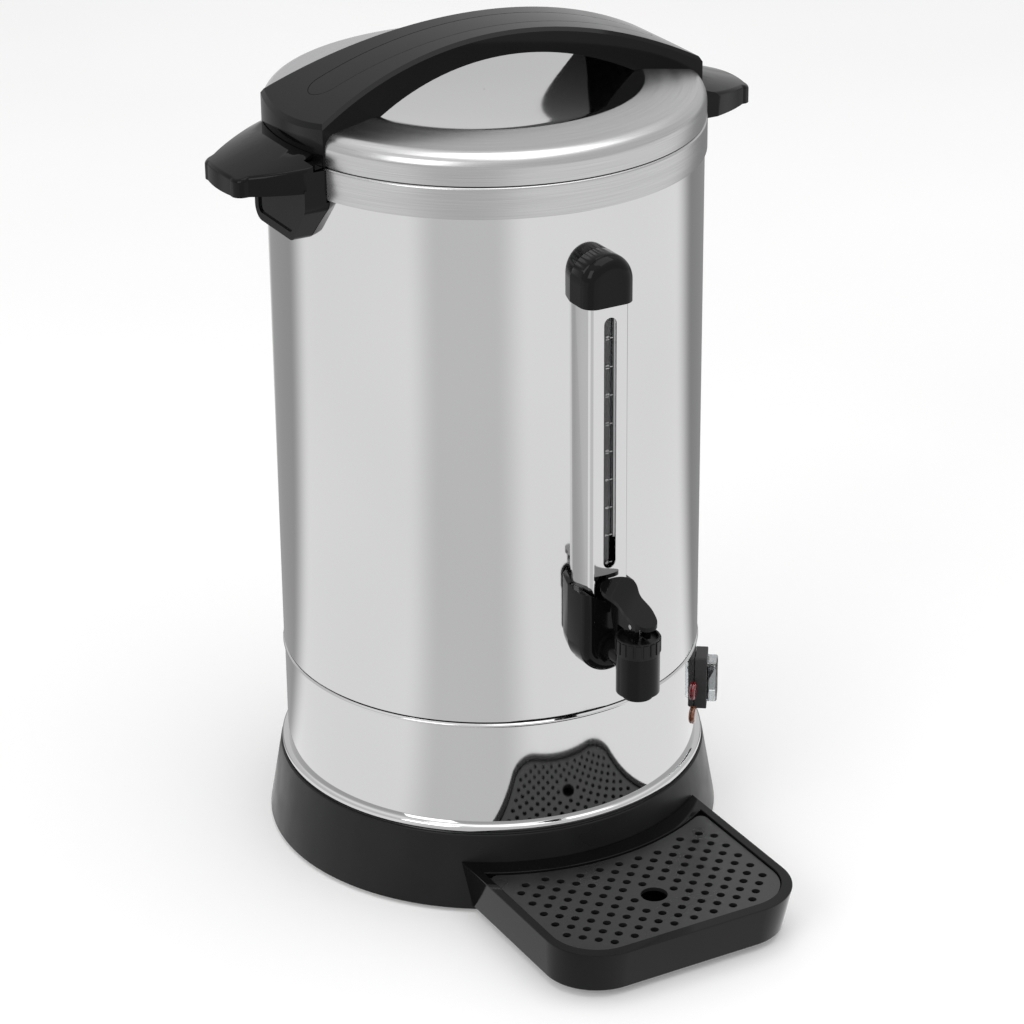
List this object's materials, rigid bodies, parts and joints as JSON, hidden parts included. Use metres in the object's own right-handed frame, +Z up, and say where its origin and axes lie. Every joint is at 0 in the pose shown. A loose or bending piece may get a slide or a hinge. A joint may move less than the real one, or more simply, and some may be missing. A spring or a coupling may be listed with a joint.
{
  "type": "hot water urn",
  "caption": "Double-walled steel hot water urn with twist-lock lid, carrying handles, sight gauge, lever tap, covered rocker switch and drip tray.",
  "frame": {"origin": "on the table plane under the urn's axis, level with the undersides of the feet", "axes": "+Z up the urn's axis; -Y towards the tap and drip tray; +Y towards the mains inlet; +X towards the carrying handle on the switch's side"},
  "size_m": [0.361, 0.4066, 0.5365],
  "materials": {
    "mirror_steel": "mirror polished stainless steel",
    "brushed_steel": "brushed stainless steel",
    "plain_steel": "plain rolled stainless steel",
    "zinc_steel": "zinc plated steel",
    "gloss_black": "gloss",
    "satin_black": "satin",
    "dark_grey": "matt",
    "clear": "clear",
    "red_lens": "translucent gloss",
    "amber_lens": "translucent gloss",
    "silicone": "satin",
    "rubber": "matt",
    "aluminium": "cast",
    "brass": "plated",
    "heater_sheath": "heat darkened",
    "white_ceramic": "matt"
  },
  "bodies": {
    "urn_body": {"outer_shell": "mirror_steel", "top_collar": "brushed_steel", "inner_tank": "plain_steel", "lower_band": "mirror_steel", "base_skirt": "satin_black", "bottom_plate": "zinc_steel", "rubber_feet": "rubber", "tie_rods": "zinc_steel", "tie_rod_nuts": "zinc_steel", "side_handle_right": "gloss_black", "side_handle_left": "gloss_black", "side_handle_screws": "zinc_steel", "gauge_cover": "mirror_steel", "gauge_glass": "clear", "gauge_scale": "dark_grey", "gauge_seals": "silicone", "gauge_cap": "gloss_black", "gauge_cap_screw": "zinc_steel", "tap_shroud": "gloss_black", "tap_body": "gloss_black", "tap_bonnet": "satin_black", "tap_spring": "plain_steel", "tap_nut": "plain_steel", "tap_washers": "silicone", "switch_plinth": "dark_grey", "switch_body": "dark_grey", "switch_cover": "clear", "switch_terminals": "brass", "lamp_red": "red_lens", "lamp_amber": "amber_lens", "lamp_holders": "zinc_steel", "inlet_bezel": "satin_black", "mains_inlet": "satin_black", "inlet_pins": "brass", "inlet_screws": "zinc_steel", "heat_spreader": "aluminium", "heating_element": "heater_sheath", "clamp_plate": "zinc_steel", "clamp_bolt": "zinc_steel", "clamp_nut": "zinc_steel", "keep_warm_thermostat": "white_ceramic", "boil_thermostat": "white_ceramic", "boil_dry_cutout": "white_ceramic"},
    "lid_seal_ring": {"lid_seal": "silicone"},
    "lid": {"lid_shell": "mirror_steel", "lid_handle": "gloss_black", "lid_handle_inlay": "gloss_black", "lid_handle_screws": "zinc_steel"},
    "tap_plunger": {"tap_stem": "plain_steel", "tap_seat_cup": "silicone", "tap_lever_pin": "plain_steel"},
    "lever": {"tap_lever": "gloss_black"},
    "rocker": {"switch_rocker": "satin_black"},
    "reset": {"reset_button": "red_lens"},
    "tray": {"drip_tray": "gloss_black"},
    "grille": {"drip_grille": "satin_black"}
  },
  "joints": [
    {"name": "lid_lift", "type": "slide", "parent": "urn_body", "child": "lid_seal_ring", "axis": [0, 0, 1], "range_m": [0, 0.09]},
    {"name": "lid_twist", "type": "hinge", "parent": "lid_seal_ring", "child": "lid", "pos_m": [0, 0, 0.48], "axis": [0, 0, 1], "range_deg": [-12, 0]},
    {"name": "lever_tip", "type": "hinge", "parent": "tap_plunger", "child": "lever", "pos_m": [0, -0.1855, 0.209], "axis": [1, 0, 0], "range_deg": [0, 35], "stiffness_Nm_per_rad": 0.15, "springref_deg": -20.05},
    {"name": "stem_rise", "type": "slide", "parent": "urn_body", "child": "tap_plunger", "axis": [0, 0, 1], "range_m": [0, 0.0035], "deforming": ["tap_spring"]},
    {"name": "rocker_tip", "type": "hinge", "parent": "urn_body", "child": "rocker", "pos_m": [0.11517, -0.08064, 0.096], "axis": [-0.5736, -0.8192, 0], "range_deg": [0, 20]},
    {"name": "reset_press", "type": "slide", "parent": "urn_body", "child": "reset", "axis": [0, 0, 1], "range_m": [0, 0.0015], "stiffness_N_per_m": 200, "springref_m": -0.002},
    {"name": "tray_slide", "type": "slide", "parent": "urn_body", "child": "tray", "axis": [0, -1, 0], "range_m": [0, 0.07]},
    {"name": "grille_lift", "type": "slide", "parent": "tray", "child": "grille", "axis": [0, 0, 1], "range_m": [0, 0.04]}
  ],
  "couplings": [
    {"joint": "stem_rise", "follows": "lever_tip", "m_per_rad": 0.0057295}
  ]
}
